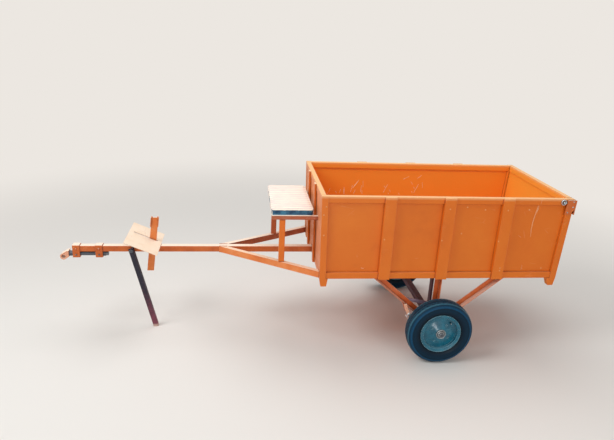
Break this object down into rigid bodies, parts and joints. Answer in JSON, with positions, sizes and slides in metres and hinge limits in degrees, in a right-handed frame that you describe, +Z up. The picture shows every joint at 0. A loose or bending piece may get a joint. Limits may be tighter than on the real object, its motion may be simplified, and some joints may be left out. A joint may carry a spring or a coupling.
{
  "type": "walk-behind tractor trailer",
  "caption": "Single-axle cargo box trailer for a walk-behind tractor, with driver's seat, footplate, swivel hitch, parking stand and drop tailgate.",
  "frame": {"origin": "on the ground below the middle of the trailer's bounding box", "axes": "+X forwards to the hitch, +Y to the left, +Z up"},
  "size_m": [3.1378, 1.1506, 1.038],
  "materials": {
    "orange_paint": "weathered orange enamel",
    "plate_paint": "dusty, sun-bleached paint",
    "bare_steel": "turned steel, dulled outdoors",
    "stand_paint": "dark paint, rusting low down",
    "seat_cloth": "cream cloth with a blue edge",
    "tyre": "dusty black rubber",
    "rim_paint": "blue enamel"
  },
  "bodies": {
    "trailer": {"drawbar": "orange_paint", "a_frame_left": "orange_paint", "a_frame_right": "orange_paint", "hitch_collars": "orange_paint", "footplate_gussets": "orange_paint", "brake_lever": "orange_paint", "seat_side_rails": "orange_paint", "seat_front_rail": "orange_paint", "seat_legs": "orange_paint", "side_rails_left": "orange_paint", "side_rails_right": "orange_paint", "side_posts_left": "orange_paint", "side_posts_right": "orange_paint", "side_panel_left": "orange_paint", "side_panel_right": "orange_paint", "front_frame": "orange_paint", "front_panel": "orange_paint", "floor_frame": "orange_paint", "floor_panel": "orange_paint", "sill_hinges": "orange_paint", "front_ribs": "orange_paint", "strut_front_left": "orange_paint", "strut_front_right": "orange_paint", "strut_rear_left": "orange_paint", "strut_rear_right": "orange_paint", "strut_post_left": "orange_paint", "strut_post_right": "orange_paint", "strut_tie_left": "orange_paint", "strut_tie_right": "orange_paint", "brake_plate_left": "orange_paint", "brake_plate_right": "orange_paint", "footplate": "plate_paint", "stand_bolt": "bare_steel", "lever_pin": "bare_steel", "latch_catches": "bare_steel", "spindle_left": "bare_steel", "spindle_right": "bare_steel", "axle_beam": "stand_paint", "axle_hanger_left": "stand_paint", "axle_hanger_right": "stand_paint", "seat_cushion": "seat_cloth"},
    "wheel_left": {"tyre_left": "tyre", "rim_left": "rim_paint", "hub_left": "bare_steel"},
    "wheel_right": {"tyre_right": "tyre", "rim_right": "rim_paint", "hub_right": "bare_steel"},
    "tailgate": {"tailgate_frame": "orange_paint", "tailgate_panel": "orange_paint", "gate_hinges": "orange_paint", "gate_latches": "orange_paint"},
    "stand": {"stand_leg": "stand_paint"},
    "hitch": {"swivel_shaft": "bare_steel", "hitch_head": "orange_paint"}
  },
  "joints": [
    {"name": "wheel_left_spin", "type": "hinge", "parent": "trailer", "child": "wheel_left", "pos_m": [-0.78708, 0.509, 0.206], "axis": [0, 1, 0], "continuous": true},
    {"name": "wheel_right_spin", "type": "hinge", "parent": "trailer", "child": "wheel_right", "pos_m": [-0.78708, -0.509, 0.206], "axis": [0, 1, 0], "continuous": true},
    {"name": "tailgate_hinge", "type": "hinge", "parent": "trailer", "child": "tailgate", "pos_m": [-1.54699, 0, 0.5605], "axis": [0, -1, 0], "range_deg": [0, 175]},
    {"name": "stand_fold", "type": "hinge", "parent": "trailer", "child": "stand", "pos_m": [1.12292, 0.04, 0.546], "axis": [0, 1, 0], "range_deg": [0, 72]},
    {"name": "hitch_swivel", "type": "hinge", "parent": "trailer", "child": "hitch", "pos_m": [1.48992, 0, 0.508], "axis": [1, 0, 0], "continuous": true}
  ]
}
